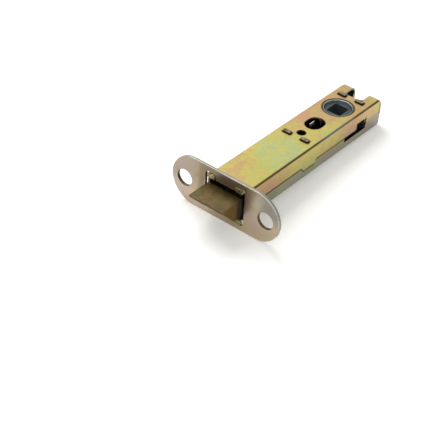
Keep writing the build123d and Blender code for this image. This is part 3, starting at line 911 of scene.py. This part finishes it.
def spring_tree():
    """Geometry node tree that winds a compression spring along +X with its end turns lying closed."""
    tree = bpy.data.node_groups.new("wind_spring", "GeometryNodeTree")
    face = tree.interface
    face.new_socket("Geometry", in_out="INPUT", socket_type="NodeSocketGeometry")
    for name, kind in (
        ("Start", "NodeSocketVector"),
        ("Length", "NodeSocketFloat"),
        ("Coil radius", "NodeSocketFloat"),
        ("Wire radius", "NodeSocketFloat"),
        ("Turns", "NodeSocketFloat"),
        ("Points", "NodeSocketInt"),
        ("Wire sides", "NodeSocketInt"),
        ("Closed share", "NodeSocketFloat"),
        ("Finish", "NodeSocketMaterial"),
    ):
        face.new_socket(name, in_out="INPUT", socket_type=kind)
    face.new_socket("Geometry", in_out="OUTPUT", socket_type="NodeSocketGeometry")
    given = add_node(tree, "NodeGroupInput").outputs
    line = add_node(tree, "GeometryNodeMeshLine", {"Count": given["Points"]}, mode="OFFSET")
    index = add_node(tree, "GeometryNodeInputIndex").outputs["Index"]
    share = calculate(tree, "DIVIDE", index, calculate(tree, "SUBTRACT", given["Points"], 1.0))
    angle = product(tree, share, given["Turns"], TURN)
    # The wire lies closed at each end, a wire's width per turn, and climbs in between
    climb = add_node(
        tree, "ShaderNodeMapRange",
        {"Value": share, "From Min": given["Closed share"],
         "From Max": calculate(tree, "SUBTRACT", 1.0, given["Closed share"])},
        interpolation_type="LINEAR",
    ).outputs["Result"]
    per_turn = product(tree, given["Wire radius"], CLOSED_RISE)
    closed_rise = product(tree, share, given["Turns"], per_turn)
    all_closed = product(tree, given["Turns"], per_turn)
    free_length = calculate(tree, "SUBTRACT", given["Length"], all_closed)
    rise = calculate(tree, "ADD", closed_rise, product(tree, climb, free_length))
    place = add_node(
        tree, "ShaderNodeCombineXYZ",
        {"X": rise,
         "Y": product(tree, calculate(tree, "COSINE", angle), given["Coil radius"]),
         "Z": product(tree, calculate(tree, "SINE", angle), given["Coil radius"])},
    ).outputs["Vector"]
    moved = add_node(tree, "ShaderNodeVectorMath", {0: place, 1: given["Start"]}, operation="ADD")
    placed = add_node(
        tree, "GeometryNodeSetPosition",
        {"Geometry": line.outputs["Mesh"], "Position": moved.outputs["Vector"]},
    )
    curve = add_node(tree, "GeometryNodeMeshToCurve", {"Mesh": placed.outputs["Geometry"]})
    ring = add_node(
        tree, "GeometryNodeCurvePrimitiveCircle",
        {"Resolution": given["Wire sides"], "Radius": given["Wire radius"]},
    )
    tube = add_node(
        tree, "GeometryNodeCurveToMesh",
        {"Curve": curve.outputs["Curve"], "Profile Curve": ring.outputs["Curve"], "Fill Caps": True},
    )
    smooth = add_node(tree, "GeometryNodeSetShadeSmooth", {"Geometry": tube.outputs["Mesh"]})
    real = add_node(tree, "GeometryNodeRealizeInstances", {"Geometry": smooth.outputs["Geometry"]})
    done = add_node(
        tree, "GeometryNodeSetMaterial",
        {"Geometry": real.outputs["Geometry"], "Material": given["Finish"]},
    )
    add_node(tree, "NodeGroupOutput", {"Geometry": done.outputs["Geometry"]})
    return tree


def bake_nodes(name, tree, values):
    """Runs a node tree on an empty mesh with named input values and gives a plain mesh object."""
    carrier = bpy.data.objects.new(name, bpy.data.meshes.new(name))
    bpy.context.scene.collection.objects.link(carrier)
    modifier = carrier.modifiers.new("Winding", "NODES")
    modifier.node_group = tree
    sockets = {s.name: s.identifier for s in tree.interface.items_tree if s.in_out == "INPUT"}
    for key, value in values.items():
        modifier[sockets[key]] = value
    evaluated = carrier.evaluated_get(bpy.context.evaluated_depsgraph_get())
    mesh = bpy.data.meshes.new_from_object(evaluated)
    carrier.modifiers.remove(modifier)
    if len(mesh.polygons) == 0:
        raise RuntimeError(f"{name} came out empty")
    carrier.data = mesh
    return carrier


class LATCH_OT_springs(Operator):
    """Wind the light bolt spring and the strong return spring"""

    bl_idname = "latch.springs"
    bl_label = "Springs"

    def execute(self, context):
        settings = context.scene.latch_springs
        finish = context.scene.latch_finish
        steel = mottled_metal("spring_wire", finish.spring_steel, paint(56, 56, 58), 3 * MM, 1.0, 0.34)
        tree = spring_tree()
        light = (settings.bolt_turns, settings.bolt_wire, settings.bolt_keep)
        strong = (settings.return_turns, settings.return_wire, settings.return_keep)
        for node, body, joint, (turns, wire, keep) in (
            ("bolt_spring", "yoke", "bolt_slide", light),
            ("return_spring", "case", "yoke_slide", strong),
        ):
            low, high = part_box(node)
            coil_radius = (high.y - low.y - wire) / 2
            values = {
                "Start": (low.x + wire / 2, 0.0, (low.z + high.z) / 2),
                "Length": high.x - low.x - wire,
                "Coil radius": coil_radius,
                "Wire radius": wire / 2,
                "Turns": turns,
                "Points": int(turns * settings.turn_steps) + 1,
                "Wire sides": settings.ring_sides,
                "Closed share": settings.closed_share,
                "Finish": steel,
            }
            piece = bake_nodes(f"{node}_wound", tree, values)
            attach(piece, body)
            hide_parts(node)
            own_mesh(piece)
        return {"FINISHED"}


def soft_lamp(name, place, target, size, power):
    """Square white area lamp that looks at a target."""
    lamp = bpy.data.lights.new(name, "AREA")
    lamp.size = size
    lamp.energy = power
    lamp.color = WHITE
    thing = bpy.data.objects.new(name, lamp)
    bpy.context.scene.collection.objects.link(thing)
    thing.location = place
    thing.rotation_euler = (target - place).to_track_quat("-Z", "Y").to_euler()


def seen_straight(tree):
    """1 for rays from the camera, a reflection or something clear, 0 for rays that only light."""
    seen = add_node(tree, "ShaderNodeLightPath").outputs
    return highest(tree, seen["Is Camera Ray"], seen["Is Glossy Ray"], seen["Is Transmission Ray"])


class LATCH_OT_stage(Operator):
    """Lay the floor, hang the lamps and set the camera"""

    bl_idname = "latch.stage"
    bl_label = "Studio"

    def lay_floor(self, stage):
        """The latch lies on the forend's edge and the rear stakes, so the floor climbs to the rear."""
        front = Vector((FOREND_HIGH.x, 0, FOREND_LOW.z))
        back = Vector((REAR_STAKES_HIGH.x, 0, REAR_STAKES_LOW.z))
        slope = (back.z - front.z) / (back.x - front.x)
        half = stage.floor_size / 2
        corners = []
        for x, y in ((-half, -half), (half, -half), (half, half), (-half, half)):
            corners.append((x, y, front.z + slope * (x - front.x)))
        mesh = bpy.data.meshes.new("floor")
        mesh.from_pydata(corners, [], [(0, 1, 2, 3)])
        floor = bpy.data.objects.new("floor", mesh)
        bpy.context.scene.collection.objects.link(floor)
        material = bpy.data.materials.new("floor_pale")
        material.use_nodes = True
        tree = material.node_tree
        tree.nodes.clear()
        straight = seen_straight(tree)
        tone = (*stage.floor_tone, 1.0)
        shader = add_node(
            tree, "ShaderNodeBsdfPrincipled",
            {"Base Color": tone, "Roughness": 0.9, "Specular IOR Level": 0.1, "Emission Color": tone,
             "Emission Strength": product(tree, straight, stage.floor_lift)},
        )
        add_node(tree, "ShaderNodeOutputMaterial", {"Surface": shader.outputs["BSDF"]})
        mesh.materials.append(material)

    def set_world(self, scene, stage):
        """Even pale sky, white where it is seen directly or in a reflection."""
        world = bpy.data.worlds.new("studio")
        scene.world = world
        world.use_nodes = True
        tree = world.node_tree
        tree.nodes.clear()
        straight = seen_straight(tree)
        even = stage.sky_strength
        strength = calculate(tree, "MULTIPLY_ADD", straight, 1.0 - even, even)
        sky = add_node(tree, "ShaderNodeBackground", {"Color": (*WHITE, 1.0), "Strength": strength})
        add_node(tree, "ShaderNodeOutputWorld", {"Surface": sky.outputs["Background"]})

    def set_camera(self, scene, stage):
        """Camera where the photograph was taken from."""
        camera = bpy.data.cameras.new("camera")
        camera.lens = stage.lens
        camera.sensor_width = stage.sensor
        camera.clip_start = NEAR_CLIP
        thing = bpy.data.objects.new("camera", camera)
        scene.collection.objects.link(thing)
        flat = math.cos(stage.elevation)
        ahead, aside = flat * math.cos(stage.heading), flat * math.sin(stage.heading)
        look = Vector((ahead, aside, -math.sin(stage.elevation)))
        side = look.cross(Vector((0, 0, 1))).normalized()
        above = side.cross(look)
        right = math.cos(stage.roll) * side + math.sin(stage.roll) * above
        up = math.cos(stage.roll) * above - math.sin(stage.roll) * side
        turned = Matrix((right, up, -look)).transposed().to_4x4()
        turned.translation = stage.camera_place
        thing.matrix_world = turned
        scene.camera = thing

    def execute(self, context):
        scene = context.scene
        stage = scene.latch_stage
        self.lay_floor(stage)
        self.set_world(scene, stage)
        self.set_camera(scene, stage)
        middle = (CAD_BOX[0] + CAD_BOX[1]) / 2
        soft_lamp("key_lamp", middle + KEY_PLACE, middle, KEY_SIZE, stage.key_power)
        soft_lamp("fill_lamp", middle + FILL_PLACE, middle, FILL_SIZE, stage.fill_power)
        scene.view_settings.view_transform = "Standard"
        return {"FINISHED"}


class LATCH_PT_panel(Panel):
    """Buttons that dress the latch, in the order in which they run"""

    bl_label = "Tubular latch"
    bl_idname = "LATCH_PT_panel"
    bl_space_type = "VIEW_3D"
    bl_region_type = "UI"
    bl_category = "Latch"

    def draw(self, context):
        for operator in OPERATORS:
            self.layout.operator(operator.bl_idname)


SETTINGS = {
    "latch_finish": LatchFinishSettings,
    "latch_springs": LatchSpringSettings,
    "latch_stage": LatchStageSettings,
}
OPERATORS = (
    LATCH_OT_stage,
    LATCH_OT_case,
    LATCH_OT_forend,
    LATCH_OT_bolt,
    LATCH_OT_works,
    LATCH_OT_springs,
)


def register():
    for name, settings in SETTINGS.items():
        bpy.utils.register_class(settings)
        setattr(bpy.types.Scene, name, PointerProperty(type=settings))
    for kind in (*OPERATORS, LATCH_PT_panel):
        bpy.utils.register_class(kind)


def unregister():
    for kind in (LATCH_PT_panel, *reversed(OPERATORS)):
        bpy.utils.unregister_class(kind)
    for name, settings in SETTINGS.items():
        delattr(bpy.types.Scene, name)
        bpy.utils.unregister_class(settings)


def main():
    register()
    bpy.ops.latch.stage()
    bpy.ops.latch.case()
    bpy.ops.latch.forend()
    bpy.ops.latch.bolt()
    bpy.ops.latch.works()
    bpy.ops.latch.springs()


if __name__ == "__main__":
    main()
